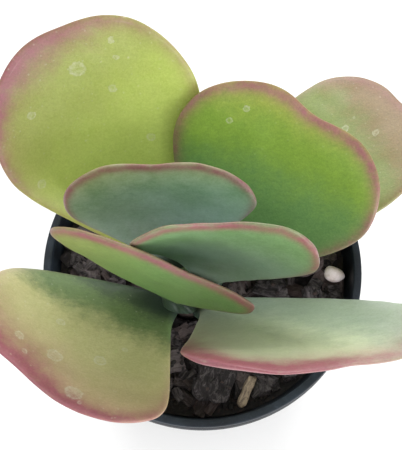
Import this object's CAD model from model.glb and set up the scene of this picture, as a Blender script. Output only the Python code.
"""The looks of a potted paddle kalanchoe: fleshy leaves, stem, bark mix and black nursery pot.

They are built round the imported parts, in metres, +Z up, in the frame of those parts. Each operator makes
one kind of piece. The panel in the 3D view's sidebar lists them, with the sizes and colours that can be
changed."""

from math import atan2, cos, exp, hypot, pi, radians, sin, sqrt, tau
from random import Random
from typing import NamedTuple

import bmesh
import bpy
import numpy as np
from bpy.props import FloatProperty, FloatVectorProperty, IntProperty, PointerProperty
from mathutils import Euler, Matrix, Vector, noise
from mathutils.bvhtree import BVHTree
from mathutils.kdtree import KDTree


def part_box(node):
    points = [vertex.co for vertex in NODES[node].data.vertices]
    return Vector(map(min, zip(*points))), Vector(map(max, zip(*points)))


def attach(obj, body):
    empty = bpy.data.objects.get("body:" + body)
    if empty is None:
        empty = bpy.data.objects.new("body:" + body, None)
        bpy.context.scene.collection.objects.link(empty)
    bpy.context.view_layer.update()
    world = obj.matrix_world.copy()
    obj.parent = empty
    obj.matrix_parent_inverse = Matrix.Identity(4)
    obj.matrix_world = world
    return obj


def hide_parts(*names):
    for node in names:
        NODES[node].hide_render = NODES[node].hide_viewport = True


bl_info = {
    "name": "Potted paddle kalanchoe",
    "version": (1, 0, 0),
    "blender": (4, 5, 0),
    "location": "3D View > Sidebar > Kalanchoe",
    "description": "Builds the leaves, stem, bark mix and pot of a potted kalanchoe round its packed parts",
    "category": "Object",
}

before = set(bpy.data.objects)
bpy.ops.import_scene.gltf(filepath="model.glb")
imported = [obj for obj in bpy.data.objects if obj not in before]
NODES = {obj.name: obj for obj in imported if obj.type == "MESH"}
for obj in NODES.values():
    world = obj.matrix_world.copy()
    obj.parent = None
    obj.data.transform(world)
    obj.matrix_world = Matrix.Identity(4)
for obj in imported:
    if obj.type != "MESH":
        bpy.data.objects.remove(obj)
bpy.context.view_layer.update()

WELD = 1e-6  # points nearer to each other than this are one point

STEM_LOW, STEM_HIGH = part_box("stem")
STEM_AXIS = (STEM_LOW + STEM_HIGH).xy / 2
STEM_RADIUS = (STEM_HIGH - STEM_LOW).x / 2
POT_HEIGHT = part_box("pot")[1].z
RIM_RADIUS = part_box("pot")[1].x
SOIL_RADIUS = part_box("soil")[1].x
SOIL_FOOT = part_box("soil")[0].z
SOIL_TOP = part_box("soil")[1].z
SOCKET_LEVEL = SOIL_TOP - 0.008  # below this lies the socket round the stem


# Settings


def paint(red, green, blue):
    """A colour given as a paint chart would, 0 to 255, as the linear colour that a shader takes."""
    return tuple((part / 255) ** 2.2 for part in (red, green, blue))


def tint(name, description, *chart):
    return FloatVectorProperty(
        name=name, description=description, subtype="COLOR", size=3, min=0, max=1, default=paint(*chart)
    )


def length(name, description, default):
    return FloatProperty(
        name=name, description=description, unit="LENGTH", min=0, precision=5, default=default
    )


def share(name, description, default):
    return FloatProperty(
        name=name, description=description, subtype="FACTOR", min=0, max=1, default=default
    )


class LeafSettings(bpy.types.PropertyGroup):
    """Colours and relief of the leaves."""

    blue_green: tint("Blue green", "Young flesh under its bloom", 104, 142, 118)
    shade: tint("Shade", "Flesh hidden under the other leaves", 46, 60, 50)
    deep_green: tint("Deep green", "Shaded flesh near the stem", 68, 86, 62)
    moss: tint("Moss", "Dull green where a low blade widens", 100, 122, 76)
    leaf_green: tint("Leaf green", "Flesh of a leaf in full growth", 102, 140, 80)
    fresh_green: tint("Fresh green", "Brightest green of a blade", 120, 150, 54)
    lime: tint("Lime", "Yellow green of a sunned blade", 182, 198, 100)
    citron: tint("Citron", "Yellow at the sunned end of a green blade", 142, 152, 58)
    olive: tint("Olive", "Green that begins to turn", 156, 166, 86)
    straw: tint("Straw", "Yellow of an old blade", 184, 182, 128)
    tan: tint("Tan", "Orange brown of a ripe blade", 182, 164, 126)
    khaki: tint("Khaki", "Dull green of a scarred blade", 126, 140, 76)
    dusty_pink: tint("Dusty pink", "Brownish pink of a blade's sunned end", 130, 110, 74)
    mint: tint("Mint", "Pale green of a thinly bloomed blade", 140, 172, 118)
    sage: tint("Sage", "Grey green of a bloomed blade", 130, 166, 140)
    silver: tint("Silver", "Pale grey green of a blade's back", 140, 156, 134)
    pearl: tint("Pearl", "Yellowish grey green of a blade's back", 188, 196, 158)
    rose: tint("Rose", "Blush along the margins", 140, 82, 90)
    margin: tint("Margin", "Thin pale line along the very edge", 176, 150, 138)
    bloom: tint("Bloom", "White wax near the stem", 182, 202, 200)
    water_mark: tint("Water mark", "Lime left by dried drops", 200, 200, 176)
    ripple: length("Ripple", "Height of the slow waves in a blade", 0.0005)
    pore_depth: length("Pore depth", "Depth of the skin's fine grain", 0.00012)
    roughness: share("Roughness", "Roughness of the waxy skin", 0.44)
    levels: IntProperty(name="Levels", description="Subdivision of a blade", min=1, max=4, default=3)


class PotSettings(bpy.types.PropertyGroup):
    """The nursery pot."""

    plastic: tint("Plastic", "Black plastic", 18, 21, 26)
    scuff: tint("Scuff", "Dust and scuffs on the plastic", 62, 72, 84)
    lip_round: length("Lip rounding", "Radius on the rim's edges", 0.0011)
    rib_height: length("Rib height", "Height of the moulded rings on the wall", 0.0007)
    sides: IntProperty(name="Sides", description="Steps round the pot", min=32, max=256, default=144)


class MixSettings(bpy.types.PropertyGroup):
    """Soil, bark and stone."""

    earth: tint("Earth", "Damp fine mix", 28, 25, 26)
    earth_clump: tint("Earth clump", "Drier clumps in the fine mix", 44, 36, 33)
    bark_dark: tint("Dark bark", "Hollows of the bark", 28, 23, 24)
    bark_grey: tint("Grey bark", "Weathered bark", 98, 91, 92)
    bark_red: tint("Red bark", "Fresh break in the bark", 64, 48, 43)
    bark_tan: tint("Tan bark", "Pale inner bark", 172, 152, 128)
    stone: tint("Stone", "Pale pebble", 250, 238, 240)
    stone_cloud: tint("Stone cloud", "Warmer patches in the pebble", 214, 196, 190)
    stone_grain: tint("Stone grain", "Dark grains in the pebble", 120, 100, 88)
    stem_crevice: tint("Stem crevice", "Hollows of the stem's skin", 26, 21, 18)
    stem_brown: tint("Stem", "Woody skin low on the stem", 58, 46, 38)
    stem_green: tint("Young stem", "Green skin near the tip", 112, 134, 92)
    grit_height: length("Grit height", "Unevenness of the soil's surface", 0.0012)
    crumbs: IntProperty(
        name="Crumbs", description="Places tried for a crumb", min=0, max=4000, default=1500
    )
    bits: IntProperty(
        name="Bark bits", description="Places tried for a small bit of bark", min=0, max=2000, default=760
    )


class StageSettings(bpy.types.PropertyGroup):
    """Floor, light and camera."""

    floor: tint("Floor", "Pale floor", 246, 246, 246)
    floor_cloud: tint("Floor cloud", "Faint darker patches in the floor", 225, 225, 225)
    sky: FloatProperty(name="Sky", description="Strength of the light from all round", min=0, default=1.05)
    front: FloatProperty(name="Front softbox", description="Its power", unit="POWER", min=0, default=10)
    back: FloatProperty(name="Back softbox", description="Its power", unit="POWER", min=0, default=9)
    lens: FloatProperty(name="Lens", description="Focal length", unit="CAMERA", min=1, default=84.3)
    elevation: FloatProperty(
        name="Elevation",
        description="How steeply the camera looks down",
        subtype="ANGLE",
        default=radians(72),
    )
    camera_height: length("Camera height", "Height of the camera over the floor", 0.5192)
    camera_back: length("Camera distance", "How far the camera stands in front of the pot's axis", 0.1168)


# Shaders


class Value:
    """A number that runs through a finish, with Python's own operators."""

    def __init__(self, finish, socket):
        self.finish = finish
        self.socket = socket

    def math(self, operation, *operands, clamp=False):
        settings = {"operation": operation, "use_clamp": clamp}
        return self.finish.node("ShaderNodeMath", 0, settings, dict(enumerate(operands)))

    def __add__(self, other):
        return self.math("ADD", self, other)

    def __sub__(self, other):
        return self.math("SUBTRACT", self, other)

    def __rsub__(self, other):
        return self.math("SUBTRACT", other, self)

    def __mul__(self, other):
        return self.math("MULTIPLY", self, other)

    __radd__ = __add__
    __rmul__ = __mul__

    def clamped(self):
        return self.math("ADD", self, 0, clamp=True)

    def fraction(self):
        return self.math("FRACT", self)

    def rise(self, low, high):
        """0 below low, 1 above high and a smooth rise between them; low may be the larger."""
        return self.finish.node(
            "ShaderNodeMapRange", 0, {"interpolation_type": "SMOOTHSTEP"}, {0: self, 1: low, 2: high}
        )


class Finish:
    """A material that is put together from calls and sums."""

    def __init__(self, name):
        self.material = bpy.data.materials.new(name)
        self.material.use_nodes = True
        self.tree = self.material.node_tree
        self.shader = self.tree.nodes["Principled BSDF"]

    def feed(self, socket, value):
        if isinstance(value, Value):
            self.tree.links.new(value.socket, socket)
        elif socket.type == "RGBA" and len(value) == 3:
            socket.default_value = (*value, 1)
        else:
            socket.default_value = value

    def node(self, kind, output, settings=None, inputs=None):
        made = self.tree.nodes.new(kind)
        for name, value in (settings or {}).items():
            if name == "stops":
                self.set_stops(made.color_ramp, value)
            else:
                setattr(made, name, value)
        for name, value in (inputs or {}).items():
            self.feed(made.inputs[name], value)
        return Value(self, made.outputs[output])

    def set_stops(self, ramp, stops):
        ramp.interpolation = "EASE"
        while len(ramp.elements) < len(stops):
            ramp.elements.new(0.5)
        for element, (position, colour) in zip(ramp.elements, stops):
            element.position = position
            element.color = (*colour, 1)

    def place(self):
        """Object coordinates."""
        return self.node("ShaderNodeTexCoord", "Object")

    def read(self, attribute, output="Fac"):
        return self.node("ShaderNodeAttribute", output, {"attribute_name": attribute})

    def stretched(self, vector, factors):
        return self.node("ShaderNodeVectorMath", 0, {"operation": "MULTIPLY"}, {0: vector, 1: factors})

    def height(self, place):
        return self.node("ShaderNodeSeparateXYZ", 2, None, {0: place})

    def noise(self, vector, scale, detail=2.0, roughness=0.5, distortion=0.0):
        inputs = {"Vector": vector, "Scale": scale, "Detail": detail}
        inputs |= {"Roughness": roughness, "Distortion": distortion}
        return self.node("ShaderNodeTexNoise", 0, None, inputs)

    def cells(self, vector, scale, output="Distance"):
        return self.node("ShaderNodeTexVoronoi", output, None, {"Vector": vector, "Scale": scale})

    def chance(self, vector, scale):
        """A number from 0 to 1 that differs from cell to cell."""
        return self.node("ShaderNodeSeparateColor", 0, None, {0: self.cells(vector, scale, "Color")})

    def ramp(self, value, stops):
        return self.node("ShaderNodeValToRGB", 0, {"stops": stops}, {0: value})

    def mix(self, factor, first, second, blend="MIX"):
        settings = {"data_type": "RGBA", "blend_type": blend}
        return self.node("ShaderNodeMix", 2, settings, {0: factor, 6: first, 7: second})

    def bump(self, height, distance, strength=1.0):
        inputs = {"Height": height, "Distance": distance, "Strength": strength}
        return self.node("ShaderNodeBump", 0, None, inputs)

    def dress(self, **sockets):
        """Sets the shader's sockets, named with _ for each space."""
        for name, value in sockets.items():
            self.feed(self.shader.inputs[name.replace("_", " ")], value)
        return self.material


# Meshes


FIT_ROUNDS = 4  # how often a cage is corrected before it is subdivided
CHIP_SEED, BIT_SEED, CRUMB_SEED, SHAKE_SEED = 5, 23, 41, 7


def cad_copy(node):
    """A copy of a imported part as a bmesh, its loose triangles merged and paired into four-sided faces."""
    bm = bmesh.new()
    bm.from_mesh(NODES[node].data)
    bmesh.ops.remove_doubles(bm, verts=bm.verts, dist=WELD)
    bmesh.ops.join_triangles(bm, faces=bm.faces, angle_face_threshold=pi, angle_shape_threshold=pi)
    return bm


def add_piece(name, bm, finish, sharp=180):
    """Puts the bmesh in the scene as an object at the origin, shaded smooth, and frees it."""
    mesh = bpy.data.meshes.new(name)
    bm.to_mesh(mesh)
    bm.free()
    mesh.shade_smooth()
    mesh.set_sharp_from_angle(angle=radians(sharp))
    mesh.materials.append(finish)
    obj = bpy.data.objects.new(name, mesh)
    bpy.context.scene.collection.objects.link(obj)
    return obj


def stand_in(obj, slot, *nodes):
    """The piece rides on the one body, takes the slot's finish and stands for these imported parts."""
    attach(obj, "root")
    if nodes:
        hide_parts(*nodes)


def evaluated_mesh(obj):
    graph = bpy.context.evaluated_depsgraph_get()
    return bpy.data.meshes.new_from_object(obj.evaluated_get(graph))


def with_modifiers(bm, *modifiers):
    """The bmesh as these modifiers leave it. Each is a type and its settings."""
    obj = add_piece("in_work", bm, None)
    for kind, settings in modifiers:
        modifier = obj.modifiers.new(kind, kind)
        for name, value in settings.items():
            setattr(modifier, name, value)
    mesh = evaluated_mesh(obj)
    made = bmesh.new()
    made.from_mesh(mesh)
    spent = obj.data
    bpy.data.objects.remove(obj)
    for old in (spent, mesh):
        bpy.data.meshes.remove(old)
    return made


def smoothing(levels):
    return "SUBSURF", {"levels": levels, "render_levels": levels}


def subdivided(bm, levels):
    """A smooth surface through the cage's own points, so that it keeps the part's outline and thickness."""
    kept = [vert.co.copy() for vert in bm.verts]
    for _ in range(FIT_ROUNDS):
        trial = with_modifiers(bm.copy(), smoothing(1))
        trial.verts.ensure_lookup_table()
        for vert, target in zip(bm.verts, kept):
            vert.co += target - trial.verts[vert.index].co
        trial.free()
    return with_modifiers(bm, smoothing(levels))


def turned(profile, sides):
    """A profile of (radius, height) points that starts and ends on the axis, turned once round it."""
    bm = bmesh.new()
    points = [bm.verts.new((radius, 0, height)) for radius, height in profile]
    edges = [bm.edges.new(pair) for pair in zip(points, points[1:])]
    bmesh.ops.spin(
        bm, geom=points + edges, axis=(0, 0, 1), cent=(0, 0, 0), angle=tau, steps=sides, use_merge=True
    )
    bmesh.ops.remove_doubles(bm, verts=bm.verts, dist=WELD)
    bmesh.ops.recalc_face_normals(bm, faces=bm.faces)
    return bm


def cut(bm, cutter):
    """The bmesh with the cutter's shape taken out of it."""
    tool = add_piece("cutter", cutter, None)
    made = with_modifiers(bm, ("BOOLEAN", {"operation": "DIFFERENCE", "solver": "EXACT", "object": tool}))
    bpy.data.objects.remove(tool)
    return made


def soften(bm, factor):
    bmesh.ops.smooth_vert(
        bm, verts=bm.verts, factor=factor, use_axis_x=True, use_axis_y=True, use_axis_z=True
    )


def shake(bm, scale, distance):
    """Moves the points by a noise that would differ from session to session if it had no seed."""
    noise.seed_set(SHAKE_SEED)
    for vert in bm.verts:
        vert.co += noise.noise_vector(vert.co * scale) * distance


def add_rod(bm, radius, depth, segments, place):
    """A closed upright cylinder, centred on the place."""
    bmesh.ops.create_cone(
        bm, cap_ends=True, segments=segments, radius1=radius, radius2=radius, depth=depth, matrix=place
    )


def positions(bm):
    return np.array([vert.co for vert in bm.verts])


def principal_axes(points):
    """The longest, middle and shortest directions of a cloud of points, as vectors."""
    centred = points - points.mean(axis=0)
    return [Vector(axis) for axis in np.linalg.svd(centred, full_matrices=False)[2]]


# Leaves


class Blush(NamedTuple):
    """Colour that comes in from the margin, strongest at one bearing round the blade.

    The tip is at 0 degrees, the left side at 90 and the right side at -90."""

    bearing: float
    spread: float
    width: float
    strength: float


class Mark(NamedTuple):
    """A dried drop: how far left of the midrib and how far out from the stem, and its radius."""

    left: float
    out: float
    radius: float


class LeafLook(NamedTuple):
    """How one leaf is coloured: it ripens towards a bearing, in stops of (share of the way, colour)."""

    node: str
    ripens: float
    stops: tuple
    blushes: tuple
    marks: tuple = ()
    bloom: float = 0.0
    bloom_reach: float = 0.03
    spotting: float = 0.2


ALL_ROUND = 400  # a spread so wide that the blush is nearly even round the blade
PALE_LINE = (0.0007, 0.0001)  # how far from the middle of the margin its pale line ends and is whole
FOOT_REACH = 0.015  # how far the dark flesh goes from where a leaf joins the stem
BASE_POINTS = 22  # points of a leaf nearest to the stem, whose middle is where it joins
BEARING_CENTRE = 0.55  # share of the blade's length at which bearings start
MARGIN_ANGLE = radians(48)  # a sharper edge is one side of the margin's narrow face
MARGIN_START = 0.2  # share of the leaf's reach where its margin starts
MARGIN_STEPS = 16  # points along each of the margin's edges
LONG_WAVES, SHORT_WAVES = 55, 130  # roughly how many waves a metre of blade would have
YOUNG_LENGTH = 0.02  # a shorter leaf is a young one, left smooth and with fewer faces
YOUNG_LEVELS = 2

LEAF_LOOKS = (
    LeafLook(
        "leaf_back_left",
        20,
        ((0.0, "leaf_green"), (0.36, "lime"), (0.58, "lime"), (0.82, "olive"), (1.0, "dusty_pink")),
        (Blush(0, ALL_ROUND, 0.0038, 0.5), Blush(28, 42, 0.011, 0.45)),
        (
            Mark(-0.002, 0.103, 0.0034),
            Mark(-0.017, 0.108, 0.0016),
            Mark(-0.016, 0.101, 0.0014),
            Mark(-0.010, 0.090, 0.0018),
            Mark(0.020, 0.096, 0.0018),
            Mark(0.029, 0.070, 0.0020),
            Mark(-0.015, 0.065, 0.0020),
        ),
        spotting=1.0,
    ),
    LeafLook(
        "leaf_back_right",
        10,
        ((0.0, "blue_green"), (0.52, "leaf_green"), (0.78, "fresh_green"), (1.0, "citron")),
        (Blush(0, 150, 0.0030, 1.0),),
        (Mark(0.021, 0.074, 0.0016), Mark(0.024, 0.067, 0.0014)),
        spotting=0.3,
    ),
    LeafLook(
        "leaf_far_right",
        -10,
        ((0.0, "leaf_green"), (0.5, "olive"), (0.72, "khaki"), (0.92, "dusty_pink")),
        (Blush(0, 150, 0.0040, 0.5),),
        (Mark(0.006, 0.087, 0.0018), Mark(-0.005, 0.094, 0.0018)),
        spotting=0.6,
    ),
    LeafLook(
        "leaf_rear_upright",
        0,
        ((0.0, "blue_green"), (0.45, "sage"), (0.72, "leaf_green"), (1.0, "olive")),
        (Blush(0, 150, 0.0020, 1.1),),
        bloom=1.0,
        bloom_reach=0.062,
        spotting=0.2,
    ),
    LeafLook(
        "leaf_inner_upright",
        0,
        ((0.0, "sage"), (0.5, "sage"), (0.8, "leaf_green"), (1.0, "leaf_green")),
        (Blush(0, 150, 0.0020, 1.1),),
        bloom=1.0,
        bloom_reach=0.05,
        spotting=0.2,
    ),
    LeafLook(
        "leaf_front_upright",
        -60,
        ((0.0, "leaf_green"), (0.4, "leaf_green"), (1.0, "khaki")),
        (Blush(0, ALL_ROUND, 0.0022, 1.1),),
        spotting=0.2,
    ),
    LeafLook(
        "leaf_front_left",
        30,
        ((0.0, "shade"), (0.13, "deep_green"), (0.27, "moss"), (0.48, "straw"), (1.0, "tan")),
        (Blush(-4, 60, 0.018, 0.8), Blush(60, 60, 0.004, 0.5), Blush(0, ALL_ROUND, 0.0014, 0.3)),
        (
            Mark(0.003, 0.063, 0.0036),
            Mark(0.021, 0.070, 0.0036),
            Mark(0.012, 0.048, 0.0028),
            Mark(-0.010, 0.049, 0.0022),
            Mark(-0.009, 0.071, 0.0022),
            Mark(-0.002, 0.074, 0.0014),
            Mark(0.012, 0.035, 0.0014),
        ),
        spotting=1.0,
    ),
    LeafLook(
        "leaf_front_right",
        -80,
        ((0.0, "silver"), (0.2, "silver"), (0.6, "pearl"), (1.0, "pearl")),
        (Blush(-50, 85, 0.012, 1.1),),
        bloom=0.5,
        spotting=0.3,
    ),
    LeafLook("young_leaf_left", 0, ((0.0, "mint"), (1.0, "leaf_green")), (Blush(0, 120, 0.0006, 0.6),)),
    LeafLook("young_leaf_right", 0, ((0.0, "mint"), (1.0, "leaf_green")), (Blush(0, 120, 0.0006, 0.6),)),
)


class Blade:
    """Where a leaf joins the stem, its directions out, left and up, its length and its margin."""

    def __init__(self, cage):
        points = positions(cage)
        nearest = sorted(points, key=lambda point: from_stem(Vector(point)))
        self.base = Vector(np.mean(nearest[:BASE_POINTS], axis=0))
        self.out = (Vector(points.mean(axis=0)) - self.base).normalized()
        away = (self.base.xy - STEM_AXIS).to_3d().normalized()
        upper = Vector((0, 0, 1)) * self.out.dot(away) - away * self.out.z
        self.face = principal_axes(points)[2]
        if self.face.dot(upper) < 0:
            self.face.negate()
        self.left = self.face.cross(self.out).normalized()
        self.length = max((Vector(point) - self.base).dot(self.out) for point in points)
        self.margin = margin_tree(cage, self.base)

    def spot(self, point):
        """(left, out) of a point, in metres."""
        offset = point - self.base
        return offset.dot(self.left), offset.dot(self.out)

    def bearing(self, point):
        left, out = self.spot(point)
        return atan2(left, out - BEARING_CENTRE * self.length)


def from_stem(point):
    """Distance from the stem's middle line."""
    height = min(max(point.z, STEM_LOW.z), STEM_HIGH.z)
    return (point - Vector((*STEM_AXIS, height))).length


def margin_tree(cage, base):
    """A search tree of points along the middle of the leaf's margin, but for where it joins the stem."""
    reach = max((vert.co - base).length for vert in cage.verts)
    margins = [edge for edge in cage.edges if edge.is_manifold and edge.calc_face_angle() > MARGIN_ANGLE]
    margins = [edge for edge in margins if (edge.verts[0].co - base).length > MARGIN_START * reach]
    tree = KDTree(len(margins) * MARGIN_STEPS)
    for index, edge in enumerate(margins):
        first, second = (margin_middle(vert, margins) for vert in edge.verts)
        for step in range(MARGIN_STEPS):
            tree.insert(first.lerp(second, step / MARGIN_STEPS), index * MARGIN_STEPS + step)
    tree.balance()
    return tree


def margin_middle(vert, margins):
    """The point half-way across the margin's narrow face from one of its edges to the other."""
    across = [edge for edge in vert.link_edges if edge not in margins]
    across = [
        edge for edge in across if any(other in margins for other in edge.other_vert(vert).link_edges)
    ]
    if not across:
        return vert.co
    shortest = min(across, key=lambda edge: edge.calc_length())
    return (vert.co + shortest.other_vert(vert).co) / 2


def lobe(angle, centre, spread):
    """1 at the centre's bearing, falling off over the spread, both ways round."""
    off = abs((angle - radians(centre) + pi) % tau - pi)
    return exp(-((off / radians(spread)) ** 2))


def blush_at(look, blade, point, inset):
    """How blushed the blade is at a point so far in from the margin, 0 to 1."""
    bearing = blade.bearing(point)
    total = 0.0
    for blush in look.blushes:
        depth = exp(-((inset / blush.width) ** 1.2))
        total += blush.strength * lobe(bearing, blush.bearing, blush.spread) * depth
    return min(total, 1)


def mark_at(look, blade, point):
    """How deep in a dried drop's mark the point lies, 1 at its middle and 0 or less outside."""
    left, out = blade.spot(point)
    depths = (1 - hypot(left - mark.left, out - mark.out) / mark.radius for mark in look.marks)
    return max(depths, default=-1)


def ripple_blade(bm, blade, height):
    """Slow waves that move both skins of the blade together, none at the stem."""
    for vert in bm.verts:
        left, out = blade.spot(vert.co)
        share_out = min(max(out / blade.length, 0), 1)
        wave = noise.noise(Vector((left, out, blade.base.z)) * LONG_WAVES)
        wave += 0.4 * noise.noise(vert.co * SHORT_WAVES)
        vert.co += blade.face * (height * wave * share_out * 1.6)


def fading(point, centre, reach):
    """1 at the centre, falling off round it."""
    return exp(-(((point - centre).length / reach) ** 2))


def measure_blade(bm, blade, look):
    """Writes what the finish reads at each point, from its ripeness to the dark foot."""
    names = ("ripeness", "inset", "blush", "mark", "bloom", "foot")
    layers = {name: bm.verts.layers.float.new(name) for name in names}
    toward = blade.out * cos(radians(look.ripens)) + blade.left * sin(radians(look.ripens))
    reach = [vert.co.dot(toward) for vert in bm.verts]
    low, span = min(reach), max(reach) - min(reach)
    for vert, far in zip(bm.verts, reach):
        inset = blade.margin.find(vert.co)[2]
        vert[layers["ripeness"]] = (far - low) / span
        vert[layers["inset"]] = inset
        vert[layers["blush"]] = blush_at(look, blade, vert.co, inset)
        vert[layers["mark"]] = mark_at(look, blade, vert.co)
        vert[layers["bloom"]] = look.bloom * fading(vert.co, blade.base, look.bloom_reach)
        vert[layers["foot"]] = fading(vert.co, blade.base, FOOT_REACH)


def leaf_finish(look, settings):
    """Waxy flesh that ripens along the blade, blushed and pale-edged at the margin, with dried drops."""
    finish = Finish(look.node + "_flesh")
    place = finish.place()
    mottle = finish.noise(place, scale=90, detail=4, roughness=0.6) - 0.5
    squeezed = finish.stretched(place, (1, 1.9, 1.2))
    fleck = finish.noise(squeezed, scale=380, detail=5, roughness=0.75) - 0.5
    grain = finish.noise(place, scale=1300, detail=3, roughness=0.7) - 0.5
    ripeness = (finish.read("ripeness") + mottle * 0.2 + fleck * 0.1).clamped()
    colour = finish.ramp(ripeness, [(at, getattr(settings, name)) for at, name in look.stops])
    bloom = finish.read("bloom") * (mottle * 1.2 + fleck * 0.4 + 0.9)
    colour = finish.mix(bloom.clamped(), colour, settings.bloom)
    cloud = finish.noise(place, scale=160, detail=5, roughness=0.65)
    blush = finish.read("blush") * (cloud * 0.9 + fleck * 0.7 + 0.55)
    colour = finish.mix(blush.rise(0.0, 1.0), colour, settings.rose)
    colour = finish.mix(finish.read("inset").rise(*PALE_LINE) * 0.5, colour, settings.margin)
    spots = dried_drops(finish, place, look.spotting)
    colour = finish.mix(spots.clamped(), colour, settings.water_mark)
    colour = finish.mix(finish.read("foot").rise(0.2, 0.8), colour, settings.shade)
    light = (grain * 0.7 + fleck * 0.6 + mottle * 0.3 + 0.5).clamped()
    greys = finish.ramp(light, [(0.0, (0.1,) * 3), (1.0, (0.9,) * 3)])
    colour = finish.mix(0.5, colour, greys, "SOFT_LIGHT")
    return finish.dress(
        Base_Color=colour,
        Roughness=spots * 0.2 + mottle * 0.2 + settings.roughness,
        Normal=finish.bump(grain + fleck * 1.2 + mottle * 0.8, settings.pore_depth, 0.6),
        Subsurface_Weight=0.12,
        Subsurface_Radius=(0.5, 1.0, 0.25),
        Subsurface_Scale=0.003,
        Coat_Weight=0.08,
        Coat_Roughness=0.35,
    )


def dried_drops(finish, place, spotting):
    """Marks of dried drops: the large ringed ones that the mesh holds, and a sprinkle of small ones."""
    chalk = finish.noise(place, scale=650, detail=4, roughness=0.7)
    fray = finish.noise(place, scale=300, detail=4, roughness=0.7) - 0.5
    ragged = finish.read("mark") + fray * 0.9
    patch = ragged.rise(0.0, 0.2)
    ring = patch * ragged.rise(0.5, 0.15)
    apart, fine_apart = 75, 330
    size = finish.chance(place, apart).rise(0.35, 1.0) * 0.13
    dot = (size - finish.cells(place, apart)).rise(0.0, 0.03) * chalk.rise(0.3, 0.6)
    fine = finish.cells(place, fine_apart).rise(0.2, 0.05) * chalk.rise(0.4, 0.6)
    sprinkle = 0.3 * spotting
    return patch * chalk.rise(0.2, 0.8) * 0.34 + ring * 0.2 + dot * sprinkle + fine * sprinkle


def make_leaf(look, settings):
    cage = cad_copy(look.node)
    blade = Blade(cage)
    young = blade.length < YOUNG_LENGTH
    bm = subdivided(cage, YOUNG_LEVELS if young else settings.levels)
    if not young:
        ripple_blade(bm, blade, settings.ripple)
    measure_blade(bm, blade, look)
    piece = add_piece(look.node + "_blade", bm, leaf_finish(look, settings))
    stand_in(piece, "leaf", look.node)


# Stem


def stem_finish(settings):
    """Brown corky skin with a green tinge towards the growing tip."""
    finish = Finish("stem_skin")
    place = finish.place()
    cork = finish.noise(finish.stretched(place, (1, 1, 2.5)), scale=420, detail=5, roughness=0.65)
    green_length = 0.02
    green = finish.height(place).rise(STEM_HIGH.z - green_length, STEM_HIGH.z) * 0.9
    bark = finish.mix(cork.rise(0.35, 0.7), settings.stem_crevice, settings.stem_brown)
    colour = finish.mix(green, bark, settings.stem_green)
    relief = finish.bump(cork, 0.0006, 0.8)
    return finish.dress(Base_Color=colour, Roughness=cork * 0.3 + 0.55, Normal=relief)


def make_stem(settings):
    bm = subdivided(cad_copy("stem"), 2)
    for vert in bm.verts:
        outward = Vector((vert.co.x - STEM_AXIS.x, vert.co.y - STEM_AXIS.y, 0))
        cork = noise.noise(Vector((vert.co.x, vert.co.y, vert.co.z * 3)) * 260)
        if outward.length > WELD:
            vert.co += outward.normalized() * (0.0003 * cork - 0.0001)
    stand_in(add_piece("stem_wood", bm, stem_finish(settings)), "stem_bark", "stem")


# Pot


WALL = 0.0015  # thickness of the pot's plastic
SAME_HEIGHT = 10 * WELD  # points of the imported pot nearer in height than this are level
FLOOR_LIFT = 0.0008  # how far the floor stands off the ground
FOOT_RING = (0.005, 0.0044, 0.0007)  # how far inside the wall the foot ring starts, stands and ends
RIB_PLACES = (0.16, 0.90)  # middles of the moulded rings, as shares of the collar's height
RIB_SHAPE = ((-0.0022, 0), (-0.0012, 1), (0.0012, 1), (0.0022, 0))  # (above its middle, relief's share)
RIM_GROOVE = ((0.0032, 0), (0.0026, 0.0004), (0.0020, 0))  # (below the rim's top, how deep)
DRAINS = 6
DRAIN_REACH = 0.04  # the drain holes lie inside this radius


def radius_of(point):
    return hypot(*point.xy)


def cad_radius(node, height, tolerance=0.0004):
    """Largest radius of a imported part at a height."""
    points = [vert.co for vert in NODES[node].data.vertices]
    return max(radius_of(point) for point in points if abs(point.z - height) < tolerance)


def wall_line():
    """(radius, height) of the pot's outer wall at its foot and just under the collar."""
    points = [vert.co for vert in NODES["pot"].data.vertices]
    _, foot, *higher = sorted({round(point.z, 5) for point in points})
    collar = next(height for height in higher if height > POT_HEIGHT / 2)
    level = [radius_of(point) for point in points if abs(point.z - collar) < SAME_HEIGHT]
    under = min(radius for radius in level if radius > SOIL_RADIUS)
    return (cad_radius("pot", foot, SAME_HEIGHT), foot), (under, collar)


def pot_profile(settings):
    """From the axis out under the floor, up the ringed wall, over the rolled rim and down the inside."""
    (foot_radius, foot), (top_radius, collar) = wall_line()
    slope = (top_radius - foot_radius) / (collar - foot)

    def outer(height):
        return foot_radius + slope * (height - foot)

    start, stand, end = FOOT_RING
    profile = [(0, FLOOR_LIFT), (foot_radius - start, FLOOR_LIFT), (foot_radius - stand, 0)]
    profile += [(foot_radius - end, 0), (outer(foot), foot)]
    for place in RIB_PLACES:
        steps = [(place * collar + lift, settings.rib_height * relief) for lift, relief in RIB_SHAPE]
        profile += [(outer(height) + relief, height) for height, relief in steps]
    profile += [(outer(collar), collar), (RIM_RADIUS - 0.0012, collar), (RIM_RADIUS, collar + 0.001)]
    profile += [(RIM_RADIUS - depth, POT_HEIGHT - below) for below, depth in RIM_GROOVE]
    profile += [(RIM_RADIUS, POT_HEIGHT), (outer(POT_HEIGHT) - WALL, POT_HEIGHT)]
    floor = SOIL_FOOT - 0.0003
    return profile + [(outer(floor) - WALL, floor), (0, floor)]


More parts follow.
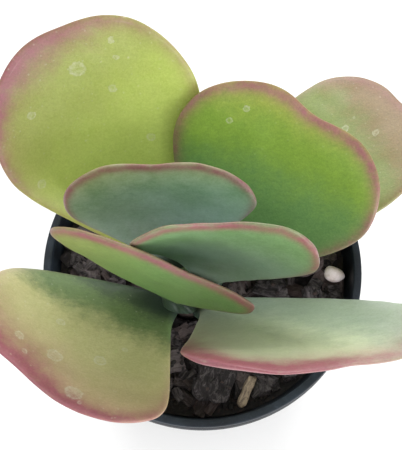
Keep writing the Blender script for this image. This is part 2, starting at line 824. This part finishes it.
def drain_cutter():
    """Round holes through the pot's floor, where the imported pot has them."""
    low = [radius_of(vert.co) for vert in NODES["pot"].data.vertices if vert.co.z < SAME_HEIGHT]
    edges = [radius for radius in low if WELD < radius < DRAIN_REACH]
    middle, radius = (min(edges) + max(edges)) / 2, (max(edges) - min(edges)) / 2
    bm = bmesh.new()
    for index in range(DRAINS):
        turn = Matrix.Rotation(tau * index / DRAINS, 4, "Z")
        place = turn @ Matrix.Translation((middle, 0, SOIL_FOOT / 2))
        add_rod(bm, radius, depth=4 * SOIL_FOOT, segments=32, place=place)
    return bm


def pot_finish(settings):
    """Black plastic with fine moulding grain, scuffs on its edges and dust."""
    finish = Finish("pot_plastic_black")
    place = finish.place()
    grain = finish.noise(place, scale=1500, detail=3, roughness=0.6)
    dust = finish.noise(place, scale=60, detail=6, roughness=0.7)
    speck = finish.cells(place, 520).rise(0.30, 0.12) * finish.noise(place, 200).rise(0.45, 0.7)
    rim = finish.height(place).rise(POT_HEIGHT - 0.004, POT_HEIGHT - 0.001)
    worn = (dust.rise(0.4, 0.75) * 0.35 + rim * 0.15 + speck * 0.3 + (grain - 0.5) * 0.3).clamped()
    colour = finish.mix(worn, settings.plastic, settings.scuff)
    return finish.dress(
        Base_Color=colour,
        Roughness=dust * 0.3 + 0.32,
        Specular_IOR_Level=0.25,
        Normal=finish.bump(grain, 0.00015, 0.5),
    )


def make_pot(settings):
    bm = turned(pot_profile(settings), settings.sides)
    lips = [edge for edge in bm.edges if edge.calc_face_angle(0) > radians(60)]
    lips = [edge for edge in lips if edge.verts[0].co.z > POT_HEIGHT / 2]
    bmesh.ops.bevel(
        bm, geom=lips, offset=settings.lip_round / 2, segments=3, profile=0.5, affect="EDGES", material=-1
    )
    bm = cut(bm, drain_cutter())
    stand_in(add_piece("nursery_pot", bm, pot_finish(settings), sharp=35), "pot_plastic", "pot")


# Bark mix


OVERHEAD = 1  # a height above everything
SOIL_RINGS, SOIL_SIDES = 54, 160
BIT_SIZES = ((0.0040, 0.0105), (0.0028, 0.0065), (0.0018, 0.004))  # limits of length, width and thickness
CRUMB_SIZES = ((0.0006, 0.0017), (0.0005, 0.0012), (0.0004, 0.001))
TIP = 0.5  # how far a bit is tipped at most, in radians


def height_finder(*nodes):
    """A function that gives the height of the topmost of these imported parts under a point, or None."""
    trees = []
    for node in nodes:
        bm = bmesh.new()
        bm.from_mesh(NODES[node].data)
        trees.append(BVHTree.FromBMesh(bm))
        bm.free()

    def find(x, y):
        hits = [tree.ray_cast(Vector((x, y, OVERHEAD)), Vector((0, 0, -1)))[0] for tree in trees]
        return max((hit.z for hit in hits if hit is not None), default=None)

    return find


def on_soil(height):
    """Whether a height found on the soil lies outside the socket round the stem."""
    return height is not None and height > SOCKET_LEVEL


def mix_finish(name, settings):
    """Damp earth, nearly black, with paler and redder grains."""
    finish = Finish(name)
    place = finish.place()
    clumps = finish.noise(place, scale=330, detail=6, roughness=0.7)
    colour = finish.mix(clumps.rise(0.4, 0.75), settings.earth, settings.earth_clump)
    colour = finish.mix(finish.chance(place, 900).rise(0.82, 0.98) * 0.5, colour, settings.bark_red)
    return finish.dress(
        Base_Color=colour, Roughness=0.75 + 0.2 * clumps, Normal=finish.bump(clumps, 0.0009, 0.9)
    )


def make_soil(settings):
    """The bed of mix: the packed soil's surface broken into lumps, with a socket for the stem."""
    profile = [(0, SOIL_FOOT), (cad_radius("soil", SOIL_FOOT), SOIL_FOOT)]
    profile += [(SOIL_RADIUS * (1 - ring / SOIL_RINGS), SOIL_TOP) for ring in range(SOIL_RINGS + 1)]
    bm = turned(profile, SOIL_SIDES)
    height_at = height_finder("soil")
    inward = 0.985  # keeps the outermost points over the packed soil
    for vert in bm.verts:
        if vert.co.z < SOIL_TOP - WELD:
            continue
        ground = height_at(vert.co.x * inward, vert.co.y * inward)
        lumps = noise.fractal(vert.co * 240, 0.8, 2.1, 3)
        level = ground if on_soil(ground) else SOIL_TOP - 0.003
        vert.co.z = level + settings.grit_height * (lumps - 0.4)
    socket = bmesh.new()
    mouth = SOIL_TOP + 0.01
    place = Matrix.Translation((*STEM_AXIS, (STEM_LOW.z + mouth) / 2))
    add_rod(socket, STEM_RADIUS + 0.0002, depth=mouth - STEM_LOW.z, segments=40, place=place)
    finish = mix_finish("bark_mix_earth", settings)
    piece = add_piece("soil_bed", cut(bm, socket), finish, sharp=60)
    stand_in(piece, "potting_mix", "soil")


def bark_finish(name, pale, settings):
    """Bark in long fibres, grey where weathered and red where broken, each piece in a tone of its own."""
    finish = Finish(name)
    grain = finish.read("grain", "Vector")
    long_grain, broad_grain = (finish.stretched(grain, size) for size in ((220, 620, 620), (120, 240, 240)))
    fibres = finish.noise(long_grain, scale=1, detail=6, roughness=0.7, distortion=1.2)
    plates = finish.noise(broad_grain, scale=1, detail=4, roughness=0.6, distortion=0.8)
    tone = finish.read("tone")
    weathered = (fibres.rise(0.36, 0.68) * 0.75 + (plates - 0.5) * 0.8 + (tone - 0.5) * 0.7).clamped()
    colour = finish.mix(weathered, settings.bark_dark, settings.bark_grey)
    colour = finish.mix((tone * 3).fraction().rise(0.6, 1.0) * 0.6, colour, settings.bark_red)
    colour = finish.mix(pale * fibres.rise(0.3, 0.6), colour, settings.bark_tan)
    relief = finish.bump(fibres + plates * 1.5, 0.0007, 0.9)
    return finish.dress(Base_Color=colour, Roughness=0.95 - 0.25 * weathered, Normal=relief)


def make_flake(node, pick, finish):
    """A chip of bark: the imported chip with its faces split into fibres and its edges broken."""
    bm = cad_copy(node)
    points = positions(bm)
    along, across, through = principal_axes(points)
    middle = Vector(points.mean(axis=0))
    bmesh.ops.subdivide_edges(bm, edges=bm.edges, cuts=3, use_grid_fill=True, smooth=0.15)
    soften(bm, 0.3)
    bm.normal_update()
    grain = bm.verts.layers.float_vector.new("grain")
    tone = bm.verts.layers.float.new("tone")
    shade = pick.random()
    lump = 0.2 * float(np.ptp(points @ np.array(through)))
    start = Vector([pick.uniform(-1, 1) for _ in range(3)])
    moves = []
    for vert in bm.verts:
        offset = vert.co - middle
        local = Vector((offset.dot(along), offset.dot(across), offset.dot(through)))
        vert[grain] = local + start
        vert[tone] = shade
        fibre = noise.noise(Vector((local.x * 130, local.y * 420, local.z * 420)) + start * 50)
        chunk = noise.noise(local * 200 + start * 9)
        moves.append(vert.normal * lump * (0.4 * fibre + chunk))
    for vert, move in zip(bm.verts, moves):
        vert.co += move
    stand_in(add_piece(node + "_flake", bm, finish, sharp=34), "bark", node)


def make_pebble(finish):
    """A water-worn stone: an uneven egg as long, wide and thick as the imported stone."""
    packed = cad_copy("pebble")
    points = positions(packed)
    packed.free()
    axes = Matrix(principal_axes(points)).transposed()
    spread = (points - points.mean(axis=0)) @ np.array(axes)
    halves = Vector(np.ptp(spread, axis=0) / 2)
    place = Matrix.Translation(points.mean(axis=0)) @ axes.to_4x4() @ Matrix.Diagonal(halves).to_4x4()
    bm = bmesh.new()
    bmesh.ops.create_icosphere(bm, subdivisions=4, radius=1)
    for vert in bm.verts:
        vert.co *= 1 + 0.12 * noise.noise(vert.co * 1.3) + 0.03 * noise.noise(vert.co * 5)
        vert.co.yz *= 1 - 0.22 * vert.co.x
    bmesh.ops.transform(bm, matrix=place, verts=bm.verts)
    bmesh.ops.recalc_face_normals(bm, faces=bm.faces)
    stand_in(add_piece("pebble_stone", bm, finish), "pebble", "pebble")


def scatter_places(pick, count, reach):
    """Even but irregular places over the soil, as (x, y)."""
    for index in range(count):
        radius = reach * sqrt((index + pick.uniform(0, 1)) / count)
        turn = index * pi * (3 - sqrt(5)) + pick.uniform(-0.4, 0.4)
        yield radius * cos(turn), radius * sin(turn)


def clear_of_stem(x, y):
    return hypot(x - STEM_AXIS.x, y - STEM_AXIS.y) > STEM_RADIUS + 0.003


def random_size(pick, limits):
    return Vector([pick.uniform(*pair) for pair in limits])


def bit_place(pick, x, y, height, size):
    """How a bit of that size lies at a place: turned and tipped at random, and partly sunk in."""
    lean = Euler((pick.uniform(-TIP, TIP), pick.uniform(-TIP, TIP), pick.uniform(0, tau)))
    lean = lean.to_matrix().to_4x4()
    return Matrix.Translation((x, y, height + size.z * 0.15)) @ lean @ Matrix.Diagonal(size).to_4x4()


def make_bits(settings, finish):
    """Small bits of bark between the chips, all in one mesh."""
    pick = Random(BIT_SEED)
    chips = [node for node in NODES if node.startswith(("bark_", "pebble"))]
    soil_at, chip_at = height_finder("soil"), height_finder(*chips)
    bm = bmesh.new()
    grain = bm.verts.layers.float_vector.new("grain")
    tone = bm.verts.layers.float.new("tone")
    for x, y in scatter_places(pick, settings.bits, SOIL_RADIUS - 0.004):
        size = random_size(pick, BIT_SIZES)
        shade = pick.random()
        ground = soil_at(x, y)
        if chip_at(x, y) is not None or not on_soil(ground) or not clear_of_stem(x, y):
            continue
        made = bmesh.ops.create_cube(bm, size=1, matrix=bit_place(pick, x, y, ground, size))
        for vert, corner in zip(made["verts"], cube_corners(size)):
            vert[grain] = corner + Vector((x, y, shade)) * 9
            vert[tone] = shade
    bmesh.ops.subdivide_edges(bm, edges=bm.edges, cuts=1, use_grid_fill=True)
    soften(bm, 0.22)
    shake(bm, scale=380, distance=0.0009)
    stand_in(add_piece("bark_bits", bm, finish, sharp=30), "bark")


def cube_corners(size):
    """Corners of a box in the order in which create_cube makes them."""
    signs = ((x, y, z) for x in (-0.5, 0.5) for y in (-0.5, 0.5) for z in (-0.5, 0.5))
    return [Vector((x * size.x, y * size.y, z * size.z)) for x, y, z in signs]


def make_crumbs(settings):
    """Fine crumbs over soil and bark, all in one mesh. The pale stick is left clean."""
    pick = Random(CRUMB_SEED)
    chips = [node for node in NODES if node.startswith("bark_")]
    ground_at, stick_at = height_finder("soil", *chips), height_finder("bark_stick")
    bm = bmesh.new()
    for x, y in scatter_places(pick, settings.crumbs, SOIL_RADIUS - 0.0015):
        size = random_size(pick, CRUMB_SIZES)
        ground = ground_at(x, y)
        if on_soil(ground) and clear_of_stem(x, y) and stick_at(x, y) is None:
            place = bit_place(pick, x, y, ground, size)
            bmesh.ops.create_icosphere(bm, subdivisions=1, radius=1, matrix=place)
    shake(bm, scale=1500, distance=0.0003)
    piece = add_piece("mix_crumbs", bm, mix_finish("crumb_earth", settings), sharp=40)
    stand_in(piece, "potting_mix")


def stone_finish(settings):
    """Pale weathered stone with faint darker grains."""
    finish = Finish("pale_stone")
    place = finish.place()
    cloud = finish.noise(place, scale=300, detail=5, roughness=0.6)
    grains = finish.noise(place, scale=2200, detail=3, roughness=0.7)
    colour = finish.mix(cloud.rise(0.3, 0.75), settings.stone, settings.stone_cloud)
    colour = finish.mix(grains.rise(0.62, 0.75) * 0.5, colour, settings.stone_grain)
    relief = finish.bump(cloud + grains, 0.0003, 0.7)
    return finish.dress(Base_Color=colour, Roughness=0.6 + 0.3 * grains, Normal=relief)


# Stage


FLOOR_REACH = 3
SOFTBOX_WIDTH = 0.9
FRONT_PLACE = (0.65, -0.85, 0.45)
BACK_PLACE = (-0.05, 1.0, 0.6)
CAMERA_ASIDE = -0.0006  # the camera stands this little to the left of the pot's axis


def make_floor(settings):
    finish = Finish("pale_floor")
    cloud = finish.noise(finish.place(), scale=40, detail=3)
    colour = finish.mix(cloud * 0.04, settings.floor, settings.floor_cloud)
    material = finish.dress(Base_Color=colour, Roughness=0.9)
    bm = bmesh.new()
    bmesh.ops.create_grid(bm, x_segments=8, y_segments=8, size=FLOOR_REACH)
    add_piece("floor", bm, material)


def make_lights(settings):
    world = bpy.data.worlds.new("soft_sky")
    world.use_nodes = True
    sky = world.node_tree.nodes["Background"]
    sky.inputs["Color"].default_value = (1, 1, 1, 1)
    sky.inputs["Strength"].default_value = settings.sky
    bpy.context.scene.world = world
    softbox("front_softbox", settings.front, Vector(FRONT_PLACE))
    softbox("back_softbox", settings.back, Vector(BACK_PLACE))


def softbox(name, power, place):
    """A large round lamp that faces the plant."""
    lamp = bpy.data.lights.new(name, "AREA")
    lamp.shape = "DISK"
    lamp.size = SOFTBOX_WIDTH
    lamp.energy = power
    obj = bpy.data.objects.new(name, lamp)
    obj.location = place
    aim = Vector((0, 0, POT_HEIGHT)) - place
    obj.rotation_euler = aim.to_track_quat("-Z", "Y").to_euler()
    bpy.context.scene.collection.objects.link(obj)


def make_camera(settings):
    """Looks down on the plant from the front."""
    lens = bpy.data.cameras.new("camera")
    lens.lens = settings.lens
    lens.sensor_width = 36
    lens.clip_start = 0.01
    camera = bpy.data.objects.new("camera", lens)
    camera.location = (CAMERA_ASIDE, -settings.camera_back, settings.camera_height)
    camera.rotation_euler = (pi / 2 - settings.elevation, 0, 0)
    bpy.context.scene.collection.objects.link(camera)
    bpy.context.scene.camera = camera


# Operators


class KALANCHOE_OT_leaves(bpy.types.Operator):
    """Make the eight leaves and the young pair at the tip"""

    bl_idname = "kalanchoe.leaves"
    bl_label = "Leaves"

    def execute(self, context):
        for look in LEAF_LOOKS:
            make_leaf(look, context.scene.kalanchoe_leaves)
        return {"FINISHED"}


class KALANCHOE_OT_stem(bpy.types.Operator):
    """Make the stem"""

    bl_idname = "kalanchoe.stem"
    bl_label = "Stem"

    def execute(self, context):
        make_stem(context.scene.kalanchoe_mix)
        return {"FINISHED"}


class KALANCHOE_OT_pot(bpy.types.Operator):
    """Make the nursery pot"""

    bl_idname = "kalanchoe.pot"
    bl_label = "Pot"

    def execute(self, context):
        make_pot(context.scene.kalanchoe_pot)
        return {"FINISHED"}


class KALANCHOE_OT_mix(bpy.types.Operator):
    """Make the soil with its chips, bits and crumbs of bark, and the pebble"""

    bl_idname = "kalanchoe.mix"
    bl_label = "Bark mix"

    def execute(self, context):
        settings = context.scene.kalanchoe_mix
        make_soil(settings)
        bark = bark_finish("weathered_bark", 0.0, settings)
        pale_bark = bark_finish("inner_bark", 0.8, settings)
        pick = Random(CHIP_SEED)
        for node in sorted(NODES):
            if node.startswith("bark_"):
                make_flake(node, pick, pale_bark if node == "bark_stick" else bark)
        make_pebble(stone_finish(settings))
        make_bits(settings, bark)
        make_crumbs(settings)
        return {"FINISHED"}


class KALANCHOE_OT_stage(bpy.types.Operator):
    """Make the floor, the lights and the camera"""

    bl_idname = "kalanchoe.stage"
    bl_label = "Stage"

    def execute(self, context):
        settings = context.scene.kalanchoe_stage
        make_floor(settings)
        make_lights(settings)
        make_camera(settings)
        context.scene.view_settings.view_transform = "Standard"
        return {"FINISHED"}


GROUPS = {
    "kalanchoe_leaves": LeafSettings,
    "kalanchoe_pot": PotSettings,
    "kalanchoe_mix": MixSettings,
    "kalanchoe_stage": StageSettings,
}
OPERATORS = (
    KALANCHOE_OT_leaves,
    KALANCHOE_OT_stem,
    KALANCHOE_OT_pot,
    KALANCHOE_OT_mix,
    KALANCHOE_OT_stage,
)


class KALANCHOE_PT_panel(bpy.types.Panel):
    """Lists the settings and what makes each piece"""

    bl_idname = "KALANCHOE_PT_panel"
    bl_label = "Kalanchoe"
    bl_space_type = "VIEW_3D"
    bl_region_type = "UI"
    bl_category = "Kalanchoe"

    def draw(self, context):
        for name, group in GROUPS.items():
            box = self.layout.box()
            settings = getattr(context.scene, name)
            for field in group.__annotations__:
                box.prop(settings, field)
        for operator in OPERATORS:
            self.layout.operator(operator.bl_idname)


def register():
    for cls in (*GROUPS.values(), *OPERATORS, KALANCHOE_PT_panel):
        bpy.utils.register_class(cls)
    for name, group in GROUPS.items():
        setattr(bpy.types.Scene, name, PointerProperty(type=group))


def unregister():
    for name in GROUPS:
        delattr(bpy.types.Scene, name)
    for cls in (KALANCHOE_PT_panel, *OPERATORS, *GROUPS.values()):
        bpy.utils.unregister_class(cls)


def main():
    register()
    bpy.ops.kalanchoe.leaves()
    bpy.ops.kalanchoe.stem()
    bpy.ops.kalanchoe.pot()
    bpy.ops.kalanchoe.mix()
    bpy.ops.kalanchoe.stage()


if __name__ == "__main__":
    main()
